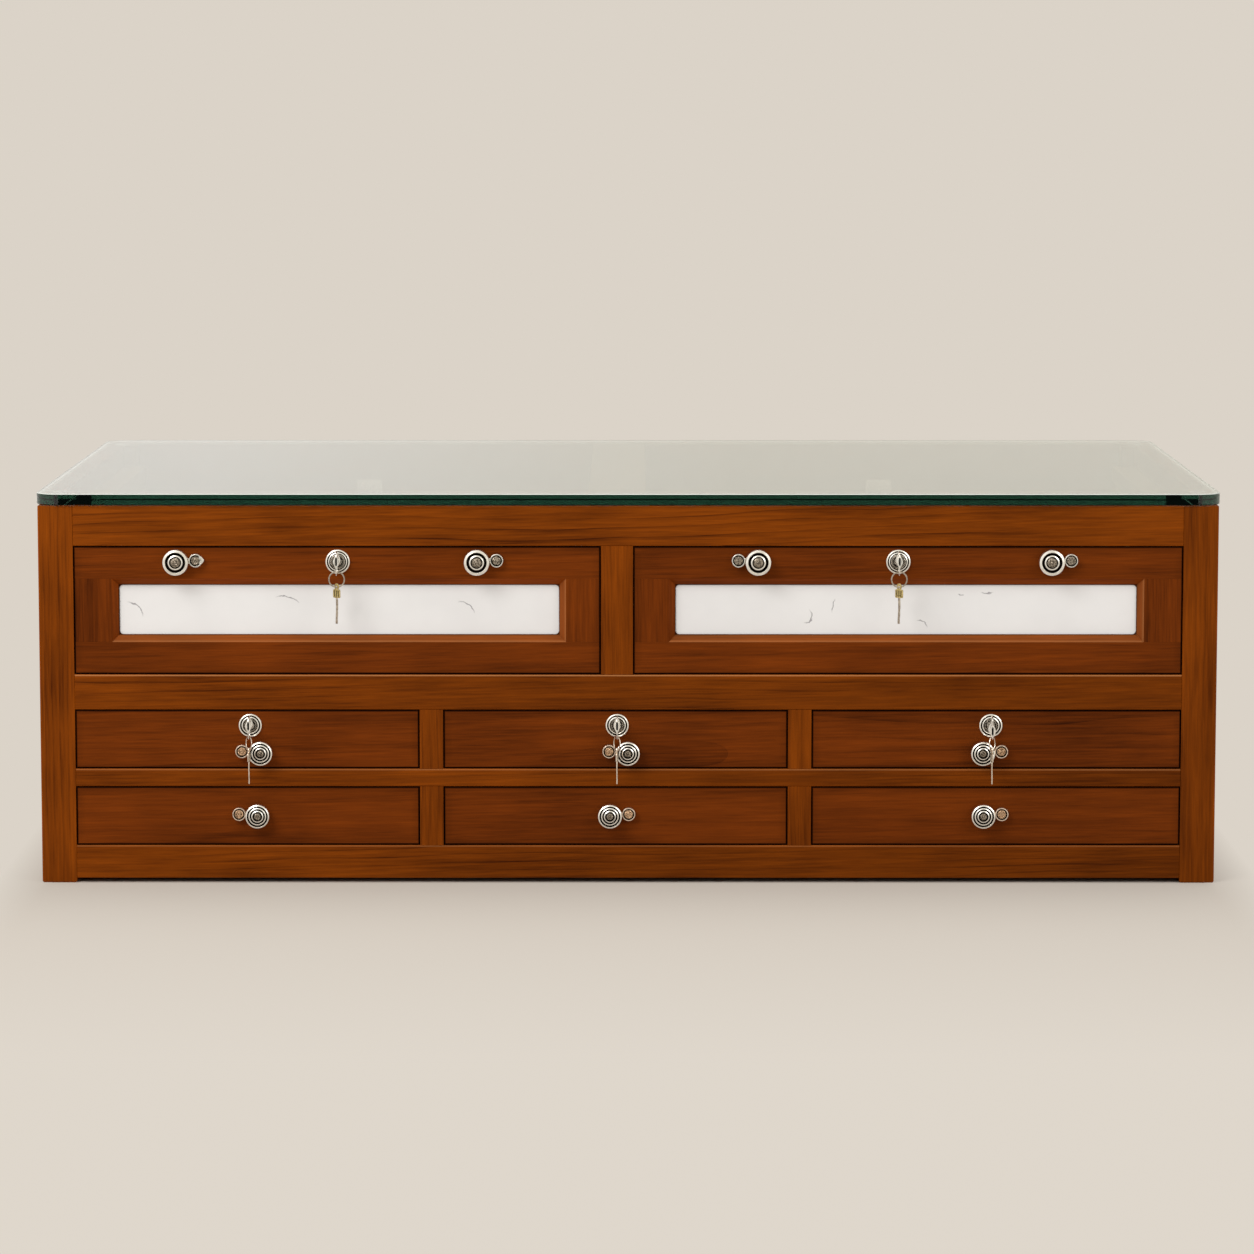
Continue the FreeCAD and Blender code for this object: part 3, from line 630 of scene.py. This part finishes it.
class COUNTER_OT_finishes(bpy.types.Operator):
    """Makes every finish and gives the wood, the marble and the glass theirs"""
    bl_idname = "counter.finishes"
    bl_label = "Finishes"

    def execute(self, context):
        colours = context.scene.counter_colours
        teak = colours.frame_light, colours.frame_dark
        make_wood("Oiled teak posts", *teak, lambda tree: lie(tree, "z", (0.31, 0.05, 0.42), (0.01, 0.008)))
        make_wood("Oiled teak rails", *teak, lambda tree: lie(tree, "x", (0.1, 0.386, -0.33), (0.02, -0.012)),
                  0.2, wear=rail_highlight_and_darkening)
        make_wood("Oiled teak sides", *teak, lambda tree: lie_round(tree, (2.1, 0.31, 0.12)))
        make_wood("Oiled teak panels", *teak, lambda tree: lie_round(tree, (4.1, 0.21, 0.52)), 0.22)
        # The runners under the glass: the boxes' hardwood painted darker, as painted shade
        make_wood("Waxed runners", linear("#94724A"), linear("#75522B"),
                  lambda tree: lie(tree, "y", (0.7, 0.2, 0.6), (0.01, 0.02)), 0.1, 0.5)
        make_wood("Waxed hardwood", colours.box_light, colours.box_dark,
                  lambda tree: lie(tree, "y", (0.3, 0.8, 0.1), (0.01, 0.02)), 0.1, 0.5)
        make_marble("Polished marble", colours.marble, colours.vein)
        make_metal("Rubbed nickel", colours.nickel, linear("#B3A898"), 0.24, 5.0, 0.3)
        make_metal("Tarnished nickel", colours.tarnish, linear("#080604"), 0.6, 3.0, 0.5)
        make_metal("Cast nickel", linear("#A99D8D"), linear("#17110C"), 0.36, 1.0, 0.95, 0.6)
        make_metal("Worn bronze", linear("#F0DDCB"), linear("#9A7C63"), 0.28, 3.0, 0.5)
        make_metal("Cast bronze", linear("#D4B08E"), linear("#3E2817"), 0.36, 1.0, 0.9, 0.6)
        make_metal("Filed nickel", linear("#C9C0B3"), linear("#211B15"), 0.34, 2.0, 0.92, 0.0, 0.5)
        make_metal("Old steel", linear("#C6BAA9"), linear("#4C4137"), 0.3, 3.0, 0.5)
        make_metal("Spring steel", linear("#EFE2D2"), linear("#A5886C"), 0.26, 4.0, 0.4)
        make_metal("Worn brass", colours.brass, linear("#8A7440"), 0.3, 2.0, 0.7, 0.2)
        make_glass("Plate glass", colours.glass)
        make_plastic("Soft clear plastic", linear("#FBFAF6"), linear("#DAD6CD"))
        make_plastic("Grey adhesive", linear("#0C0C0B"), linear("#1C1B19"))
        nodes = frame["nodes"]
        for i, name in enumerate(DRAWERS):
            seed = (0.37 * i + 0.11, 0.372 + 0.013 * (i * 5 % 7), 0.05 - 0.07 * i)
            if name.startswith("upper"):
                low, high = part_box(name + "_marble")
                edge = Vector((MITRE, 0, MITRE)) * MM
                corners = low - edge, high + edge
                lay = lambda tree, corners=corners, seed=seed: lie_framed(tree, *corners, seed)
            else:
                lay = lambda tree, seed=seed: lie(tree, "x", seed, (0.018, 0.009))
            wear = lambda tree, name=name: front_painted_light_and_shade(tree, name)
            make_wood("Oiled teak " + name, colours.front_light, colours.front_dark, lay, 0.12, wear=wear)
            paint(nodes[name + "_front"], "Oiled teak " + name)
            paint(nodes[name + "_box"], "Waxed hardwood")
            if name.startswith("upper"):
                paint(nodes[name + "_marble"], "Polished marble")
        for finish, *names in (("Oiled teak posts", "corner_posts", "front_stiles"),
                               ("Oiled teak rails", "front_rails"), ("Oiled teak sides", "outer_rails"),
                               ("Oiled teak panels", "outer_panels"), ("Plate glass", "glass_top"),
                               ("Waxed runners", "drawer_guides", "drawer_ledges")):
            for name in names:
                paint(nodes[name], finish)
        return {"FINISHED"}


def make_knob(name, sizes, radius, rings, boss):
    """A turned knob: a stem and a head whose face has beads between dark grooves, round a cast boss."""
    reach, stem, neck = (value / MM for value in (sizes.knob_reach, sizes.knob_stem, sizes.knob_neck))
    base = reach - 2.0
    profile = [(0, 0), (stem + 0.8, 0), (stem, 0.8), (stem, neck), (radius - 1.6, neck),
               (radius - 0.5, neck + 0.5), (radius, neck + 1.8)]
    for outer, inner in rings:
        profile += [(outer, base - 1.2)] if outer < radius else []
        profile += bead(outer, inner, base, 2.0 if outer == radius else 1.5) + [(inner, base - 1.2)]
    profile += [(boss, base - 1.2), (boss, base + 0.2), (boss * 0.86, base + 0.9), (boss * 0.5, base + 1.3),
                (boss * 0.34, base + 0.7), (boss * 0.2, base + 1.3), (0, base + 1.5)]
    knob = paint(turned(name, profile), "Rubbed nickel", "Tarnished nickel", "Cast nickel")
    choose(knob, 1, lambda r, out, middle: base - 1.3 < out < base + 0.1 and r < radius - 0.6)
    return choose(knob, 2, lambda r, out, middle: r < boss and out > base + 0.1)


class COUNTER_OT_knobs(bpy.types.Operator):
    """Turns the ten knobs"""
    bl_idname = "counter.knobs"
    bl_label = "Knobs"

    def execute(self, context):
        sizes = context.scene.counter_sizes
        large, small = sizes.large_knob / MM, sizes.small_knob / MM
        broad = make_knob("broad_knob", sizes, large, ((large, 10.4), (7.9, 6.1)), 5.1)
        ringed = make_knob("ringed_knob", sizes, small, ((small, 10.7), (9.3, 7.8), (6.4, 5.0)), 3.7)
        for drawer, joint, place in sites("_tab_swivel"):
            name = joint["name"].replace("_tab_swivel", "_knob")
            master = broad if drawer.startswith("upper") else ringed
            copied(master, name, place, joint["parent"], drawer + "_fittings")
        delete(broad, ringed)
        return {"FINISHED"}


def make_tab(name, sizes, knob, worn, cast, beak=()):
    """A swivel tab: an eye and an arm of flat plate, and a finger disc with a groove round a cast face."""
    reach = (knob + sizes.tab_gap) / MM
    eye = plate("eye", round_outline(6.5), 1.2, 3.8)
    cut(eye, plate("hole", round_outline(sizes.knob_stem / MM + 0.1), 0.0, 5.0))
    arm = plate("arm", [(5.4, -2.7), (reach, -2.7), (reach, 2.7), (5.4, 2.7)], 1.3, 3.7)
    disc = plate("disc", [(reach + x, z) for x, z in round_outline(sizes.tab_radius / MM)], 1.2, 6.2)
    face = max(disc.data.polygons, key=lambda polygon: -polygon.center.y).index
    take(disc)
    edit("FACE", "DESELECT")
    bpy.ops.object.mode_set(mode="OBJECT")
    disc.data.polygons[face].select = True
    bpy.ops.object.mode_set(mode="EDIT")
    insets = ((0.35, 0.4), (0.85, 0.0), (0.15, -1.0), (0.95, 0.0), (0.2, 0.8), (1.2, 0.3), (0.5, -0.4),
              (0.6, 0.4))
    for thickness, depth in insets:
        bpy.ops.mesh.inset(thickness=thickness * MM, depth=depth * MM)
    softened(disc, 0.12)
    pieces = [eye, arm, disc]
    if beak:
        pieces.append(softened(plate("beak", [(reach + x, z) for x, z in beak], 1.2, 6.3), 0.5))
    tab = paint(smooth(one(name, *pieces)), worn, "Tarnished nickel", cast)
    choose(tab, 1, lambda r, out, middle: 5.5 < out < 6.3 and math.hypot(middle.x - reach, middle.z) < 5.9)
    return choose(tab, 2, lambda r, out, middle: out > 6.3 and math.hypot(middle.x - reach, middle.z) < 4.8)


class COUNTER_OT_tabs(bpy.types.Operator):
    """Makes the ten swivel tabs"""
    bl_idname = "counter.tabs"
    bl_label = "Tabs"

    def execute(self, context):
        sizes = context.scene.counter_sizes
        beak = [(3.4, -6.2), (6.6, -3.6), (8.8, -0.8), (8.8, 0.8), (6.6, 3.6), (3.4, 6.2)]
        pointed = make_tab("pointed_tab", sizes, sizes.large_knob, "Rubbed nickel", "Cast nickel", beak)
        plain = make_tab("plain_tab", sizes, sizes.large_knob, "Rubbed nickel", "Cast nickel")
        small = make_tab("small_tab", sizes, sizes.small_knob, "Worn bronze", "Cast bronze")
        for drawer, joint, place in sites("_tab_swivel"):
            node = joint["name"].replace("_swivel", "")
            low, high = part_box(node)
            rightward = low.x + high.x > 2 * joint["pos_m"][0]
            angle = -sizes.tab_lift if rightward else sizes.tab_lift - math.pi
            master = plain if drawer.startswith("upper") else small
            if node == "upper_left_left_tab":
                master = pointed
            place = place @ Matrix.Rotation(angle, 4, "Y")
            copied(master, node + "_piece", place, joint["child"], node)
        delete(pointed, plain, small)
        return {"FINISHED"}


class COUNTER_OT_locks(bpy.types.Operator):
    """Turns the five lock cases: a rose with a bright rim round a dark groove, and the barrel behind it"""
    bl_idname = "counter.locks"
    bl_label = "Locks"

    def execute(self, context):
        sizes = context.scene.counter_sizes
        bore, thick = sizes.bore / MM, sizes.rose_thick / MM
        barrel, edge = 9.5, 1.7
        masters = {}
        kinds = (("upper", sizes.large_rose, 9.9, 8.6, 7.7), ("row", sizes.small_rose, 9.1, 7.7, 7.0))
        for kind, size, outer, inner, disc in kinds:
            rim = size / MM
            profile = [(bore, -LOCK_DEPTH), (bore, 2.3), (bore + 0.3, 2.6), (disc, 2.3), (disc, 1.0),
                       (inner, 1.0), *reversed(bead(outer, inner, 1.6, 1.1)), (outer, 1.0),
                       (rim - edge, 1.0), *reversed(bead(rim, rim - edge, thick - 1.4, 1.4)), (rim, 0.0),
                       (barrel, 0.0), (barrel, -LOCK_DEPTH), (bore, -LOCK_DEPTH)]
            case = paint(turned(kind + "_case", profile), "Rubbed nickel", "Tarnished nickel", "Filed nickel")
            choose(case, 1, lambda r, out, middle: 0.5 < out < 1.45 and r < rim - 0.8)
            masters[kind] = choose(case, 2, lambda r, out, middle: r < disc and out > 1.8)
        for drawer, joint, _ in sites("_lock_turn"):
            master = masters["upper" if drawer.startswith("upper") else "row"]
            copied(master, drawer + "_lock", on_face(joint), joint["parent"], drawer + "_fittings")
        delete(*masters.values())
        return {"FINISHED"}


def make_key(sizes):
    """A key standing in its plug: a swelling bow seen edge on, split down its front, and a flat blade."""
    reach, height, thick = (value / MM for value in (sizes.bow_reach, sizes.bow_height, sizes.key_thick))
    bar, swell, crown = (value / MM for value in (sizes.bow_bar, sizes.bow_swell, sizes.bow_crown))
    quarter = Matrix.Rotation(math.pi / 2, 4, "Z")
    bow = moved(plate("bow", oblong(reach, height, 4.5, 6), -swell / 2, swell / 2), quarter)
    window = moved(plate("window", oblong(reach - 2 * bar, height - 2 * bar, 2.8), -swell, swell), quarter)
    heights = [height / 2 * (i / 12 - 1) for i in range(25)]
    waist, half_swell = thick / 3, 7.0
    widths = [waist + (swell / 2 - waist) * max(0.0, math.cos(math.pi / 2 * (h - crown) / half_swell)) ** 1.3
              if abs(h - crown) < half_swell else waist for h in heights]
    cut(bow, plate("lens", both_halves(list(zip(widths, heights))), -reach, reach), "INTERSECT")
    cut(bow, window)
    slit = [(min(0.95, max(0.15, w - 1.4)), h) for w, h in zip(widths, heights) if abs(h - crown) < 5.2]
    cut(bow, plate("slit", both_halves(slit), reach / 2 - 1.5, reach / 2 + 1.0))
    paint(softened(bow, 0.25), "Rubbed nickel", "Tarnished nickel")
    choose(bow, 1, lambda r, out, middle: reach / 2 - 1.7 < out < reach / 2 - 0.3
           and abs(middle.z - crown) < 5.3 and abs(middle.x) < 1.05)
    moved(bow, Matrix.Translation((0, -19.0 * MM, 0)))
    blade = softened(plate("blade", oblong(thick, 6.0), -9.4, 9.4), 0.15)
    return one("key", bow, paint(blade, "Rubbed nickel"))


class COUNTER_OT_plugs(bpy.types.Operator):
    """Makes the five plugs, each with its cam behind and the key in it"""
    bl_idname = "counter.plugs"
    bl_label = "Plugs and keys"

    def execute(self, context):
        sizes = context.scene.counter_sizes
        radius, face, depth = sizes.bore / MM - 0.1, sizes.rose_thick / MM - 0.4, LOCK_DEPTH
        profile = [(0, face + 0.5), (4.3, face), (4.5, face - 0.4), (5.2, face - 0.4), (5.4, face),
                   (radius - 0.3, face), (radius, face - 0.3), (radius, -depth), (0, -depth)]
        plug = turned("plug", profile, 48)
        cut(plug, plate("keyway", oblong(1.5, 6.3), -9.6, face + 1))
        paint(plug, "Filed nickel", "Tarnished nickel")
        choose(plug, 1, lambda r, out, middle: 4.3 < r < 5.3 and out < face - 0.1 and out > 0
               or r < 3.3 and -9.7 < out < face - 0.1)
        tail = plate("tail", oblong(6.0, 6.0, 0.6), -depth - 3.1, -depth)
        outline = [(6, 6), (-17, 6), (-21.5, 5), (-23, 2.5), (-23, -2.5), (-21.5, -5), (-17, -6), (6, -6)]
        cam = plate("cam", outline, -depth - 2.5, -depth - 0.5)
        cut(cam, plate("hole", oblong(6.2, 6.2, 0.6), -depth - 4, -depth))
        for piece in (tail, cam):
            paint(softened(piece, 0.2), "Spring steel")
        master = one("plug_master", plug, tail, cam, make_key(sizes))
        for drawer, joint, _ in sites("_lock_turn"):
            side = math.pi if drawer == "row1_right" else 0.0
            place = on_face(joint) @ Matrix.Rotation(side, 4, "Y")
            copied(master, drawer + "_plug_and_key", place, joint["child"], drawer + "_lock_plug")
        delete(master)
        return {"FINISHED"}


def hang_turn(sizes, joint):
    """How far a ring is turned about the upright: not at all over the marble, and to one side over a knob."""
    sideways = joints[joint["name"].replace("spare_key_swing", "ring_swing")]["axis"][1]
    return 0.0 if abs(sideways) < 0.1 else math.copysign(sizes.ring_turn, sideways)


class COUNTER_OT_rings(bpy.types.Operator):
    """Winds the five split rings, two turns of wire each, pressed narrow where they hang by a knob"""
    bl_idname = "counter.rings"
    bl_label = "Rings"

    def execute(self, context):
        sizes = context.scene.counter_sizes
        radius, wire = sizes.ring_radius / MM, sizes.ring_wire / MM
        outline = [(radius - wire / 2 + u, v - 0.6, 0) for u, v in oblong(wire - 0.1, 0.58, 0.2, 2)]
        draw(outline + outline[:1])
        bpy.ops.mesh.remove_doubles(threshold=0.002 * MM)
        ring = named("split_ring")
        modified(ring, "SCREW", axis="Y", angle=4 * math.pi, screw_offset=0.6 * MM, steps=96, render_steps=96)
        edit("EDGE", "DESELECT")
        bpy.ops.mesh.select_non_manifold()
        bpy.ops.mesh.edge_face_add()
        ring = smooth(closed(named("split_ring")))
        for drawer, joint, place in sites("_ring_swing"):
            drop = Matrix.Translation((0, 0, -sizes.ring_radius + sizes.ring_wire / 2))
            hang = hang_turn(sizes, joint)
            squeeze = Matrix.Diagonal((0.8 if hang else 1.0, 1.0, 1.0, 1.0))
            place = place @ drop @ Matrix.Rotation(-hang, 4, "Z") @ squeeze
            paint(ring, "Spring steel" if hang else "Old steel")
            copied(ring, drawer + "_split_ring", place, joint["child"], drawer + "_ring")
        delete(ring)
        return {"FINISHED"}


class COUNTER_OT_spare_keys(bpy.types.Operator):
    """Cuts the five spare keys"""
    bl_idname = "counter.spare_keys"
    bl_label = "Spare keys"

    def execute(self, context):
        sizes = context.scene.counter_sizes
        half = sizes.key_thick / MM / 2
        masters = []
        for span, metal, steel in ((sizes.long_spare / MM, "Worn brass", "Old steel"),
                                   (sizes.short_spare / MM, "Spring steel", "Spring steel")):
            head = plate("head", oblong(5.4, 6.6, 2.2), -half, half)
            block = plate("block", [(x, z - 7.2) for x, z in oblong(9.4, 8.8, 1.4)], -half, half)
            head = modified(head, "BOOLEAN", operation="UNION", object=block, solver="EXACT")
            delete(block)
            cut(head, plate("eye", [(x, z - 0.4) for x, z in round_outline(1.5, 20)], -2, 2))
            for x in (-2.6, 0.0, 2.6):
                for near, far in ((half - 0.3, 2), (-2, 0.3 - half)):
                    cut(head, plate("flute", [(x + u, z - 7.2) for u, z in oblong(1.1, 6.4)], near, far))
            paint(softened(head, 0.15), metal, "Tarnished nickel")
            choose(head, 1, lambda r, out, middle: middle.z < -3.9 and abs(middle.x) < 3.3
                   and abs(abs(out) - half + 0.3) < 0.02)
            curve = [(0.35 * math.sin(i / 10 * math.pi * 1.5), -11.4 - span * i / 10) for i in range(11)]
            right = [(x + 1.1 - (0.35 if i in (5, 8) else 0), z) for i, (x, z) in enumerate(curve)]
            left = [(x - 1.1, z) for x, z in reversed(curve)]
            tip = (curve[-1][0] + 0.2, curve[-1][1] - 0.1)
            shank = plate("shank", [*right, tip, *left], -half, half)
            masters.append(one("spare_master", head, paint(softened(shank, 0.2), steel)))
        for drawer, joint, place in sites("_spare_key_swing"):
            hang = hang_turn(sizes, joint)
            angle = -hang - math.copysign(sizes.spare_turn, hang)
            place = place @ Matrix.Translation((0, 0, sizes.ring_wire / 2)) @ Matrix.Rotation(angle, 4, "Z")
            master = masters[1 if hang else 0]
            copied(master, drawer + "_spare", place, joint["child"], drawer + "_spare_key")
        delete(*masters)
        return {"FINISHED"}


class COUNTER_OT_stops(bpy.types.Operator):
    """Makes the eight stop clips on the drawers' backs, each with two screws"""
    bl_idname = "counter.stops"
    bl_label = "Stop clips"

    def execute(self, context):
        clip = softened(plate("clip", oblong(30.0, 28.0, 3.0), 0.0, 1.6), 0.25)
        heads = []
        for x in (-9.0, 9.0):
            head = turned("screw", [(0, 2.3), (1.6, 2.2), (2.6, 1.5), (2.6, 0.2), (0, 0.2)], 24)
            cut(head, plate("slot", oblong(6.0, 0.7), 1.9, 3.0))
            heads.append(moved(head, Matrix.Translation((x * MM, 0, -8.0 * MM))))
        master = paint(smooth(one("clip_master", clip, *heads)), "Spring steel")
        for name in DRAWERS:
            low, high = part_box(name + "_box")
            place = Matrix.Translation(((low.x + high.x) / 2, high.y - 25.0 * MM, high.z - 4.0 * MM))
            copied(master, name + "_stop", place, name + "_drawer", name + "_fittings")
        delete(master)
        return {"FINISHED"}


class COUNTER_OT_pads(bpy.types.Operator):
    """Moulds the four pads under the glass: a clear ring round a dark disc"""
    bl_idname = "counter.pads"
    bl_label = "Pads"

    def execute(self, context):
        low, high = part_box("glass_pads")
        thick = (high.z - low.z) / MM
        profile = [(0, thick - 0.15), (4.4, thick - 0.15), (4.8, thick - 0.02), (7.5, thick - 0.02),
                   (7.9, thick / 2), (7.9, 0.0), (0, 0.0)]
        pad = paint(turned("pad_master", profile, 48), "Soft clear plastic", "Grey adhesive")
        choose(pad, 1, lambda r, out, middle: r < 4.6 and out > thick / 2)
        moved(pad, Matrix.Rotation(-math.pi / 2, 4, "X"))
        reach = 8.0 * MM
        for i, x in enumerate((low.x + reach, high.x - reach)):
            for j, y in enumerate((low.y + reach, high.y - reach)):
                place = Matrix.Translation((x, y, low.z))
                copied(pad, "pad_%d" % (2 * i + j + 1), place, "counter", "glass_pads")
        delete(pad)
        return {"FINISHED"}


class COUNTER_OT_stage(bpy.types.Operator):
    """Lays the paper floor and sets the backdrop, the lamps and the camera"""
    bl_idname = "counter.stage"
    bl_label = "Stage"

    def execute(self, context):
        colours = context.scene.counter_colours
        make_paper("Background paper", colours.paper)
        clear()
        bpy.ops.mesh.primitive_circle_add(vertices=128, radius=2.3, fill_type="NGON")
        floor = paint(named("paper_floor"), "Background paper")
        world = bpy.data.worlds.new("Studio")
        context.scene.world = world
        world.use_nodes = True
        tree = world.node_tree
        tree.nodes.clear()
        path = add(tree, "LightPath")
        way = add(tree, "TexCoord").outputs["Generated"]
        # Low in front the room is dark, which the glass edge mirrors, and the rest of it is pale
        ahead = add(tree, "VectorMath", {0: way, 1: (0.0, -0.985, -0.174)}, operation="DOT_PRODUCT")
        ahead = add(tree, "MapRange", {0: ahead, 1: 0.985, 2: 0.95}, interpolation_type="SMOOTHSTEP")
        way = add(tree, "SeparateXYZ", {0: way})
        right = add(tree, "MapRange", {0: way.outputs[0], 1: -0.09, 2: 0.02})
        room = add(tree, "Mix", {0: right, 6: linear("#F4F0E8"), 7: linear("#E7E2D5")}, data_type="RGBA")
        seen = add(tree, "Mix", {0: ahead, 6: linear("#3C5046"), 7: room}, data_type="RGBA")
        dome = add(tree, "Background", {"Color": linear("#FFFEFC"), "Strength": 0.48})
        reflected = add(tree, "Background", {"Color": seen, "Strength": 1.0})
        paper = add(tree, "Background", {"Color": colours.paper, "Strength": 1.0})
        sharp = add(tree, "Math", {0: path.outputs["Is Glossy Ray"], 1: path.outputs["Is Transmission Ray"]},
                    operation="MAXIMUM")
        mixed = add(tree, "MixShader", {0: sharp, 1: dome, 2: reflected})
        mixed = add(tree, "MixShader", {0: path.outputs["Is Camera Ray"], 1: mixed, 2: paper})
        add(tree, "OutputWorld", {"Surface": mixed})
        aim = Vector((0, 0, 0.2))
        lamps = (("key", (-1.9, -2.6, 2.5), 2.0, 70.0, "#FFFDFB"),
                 ("fill", (2.2, -2.4, 1.4), 1.6, 18.0, "#FFFFFF"),
                 ("top", (0.2, 0.6, 3.0), 2.0, 24.0, "#FFFFFF"))
        for name, spot, size, power, colour in lamps:
            lamp = bpy.data.lights.new(name, "AREA")
            lamp.shape = "DISK"
            lamp.size = size
            lamp.energy = power
            lamp.color = linear(colour)[:3]
            light = bpy.data.objects.new(name, lamp)
            context.collection.objects.link(light)
            light.location = spot
            light.rotation_euler = (aim - Vector(spot)).to_track_quat("-Z", "Y").to_euler()
            light.visible_camera = False
            # Seen through the glass, a lamp would glare in its far edge
            light.visible_transmission = False
        camera = bpy.data.objects.new("camera", bpy.data.cameras.new("camera"))
        context.collection.objects.link(camera)
        camera.location = (0.0082, -5.269, 0.851)
        camera.rotation_euler = (math.radians(83.26), 0, math.radians(0.108))
        camera.data.lens = 137.74
        camera.data.sensor_width = 36.0
        context.scene.camera = camera
        context.scene.view_settings.view_transform = "Standard"
        return {"FINISHED"}


OPERATORS = (COUNTER_OT_finishes, COUNTER_OT_knobs, COUNTER_OT_tabs, COUNTER_OT_locks, COUNTER_OT_plugs,
             COUNTER_OT_rings, COUNTER_OT_spare_keys, COUNTER_OT_stops, COUNTER_OT_pads, COUNTER_OT_stage)


class COUNTER_PT_panel(bpy.types.Panel):
    """Lists the counter's pieces"""
    bl_label = "Shop counter"
    bl_idname = "COUNTER_PT_panel"
    bl_space_type = "VIEW_3D"
    bl_region_type = "UI"
    bl_category = "Counter"

    def draw(self, context):
        for operator in OPERATORS:
            self.layout.operator(operator.bl_idname)


CLASSES = (CounterSizes, CounterColours, *OPERATORS, COUNTER_PT_panel)


def register():
    for item in CLASSES:
        bpy.utils.register_class(item)
    bpy.types.Scene.counter_sizes = PointerProperty(type=CounterSizes)
    bpy.types.Scene.counter_colours = PointerProperty(type=CounterColours)


def unregister():
    del bpy.types.Scene.counter_sizes
    del bpy.types.Scene.counter_colours
    for item in reversed(CLASSES):
        bpy.utils.unregister_class(item)


def main():
    register()
    bpy.ops.counter.finishes()
    bpy.ops.counter.knobs()
    bpy.ops.counter.tabs()
    bpy.ops.counter.locks()
    bpy.ops.counter.plugs()
    bpy.ops.counter.rings()
    bpy.ops.counter.spare_keys()
    bpy.ops.counter.stops()
    bpy.ops.counter.pads()
    bpy.ops.counter.stage()
    clear()


if __name__ == "__main__":
    main()
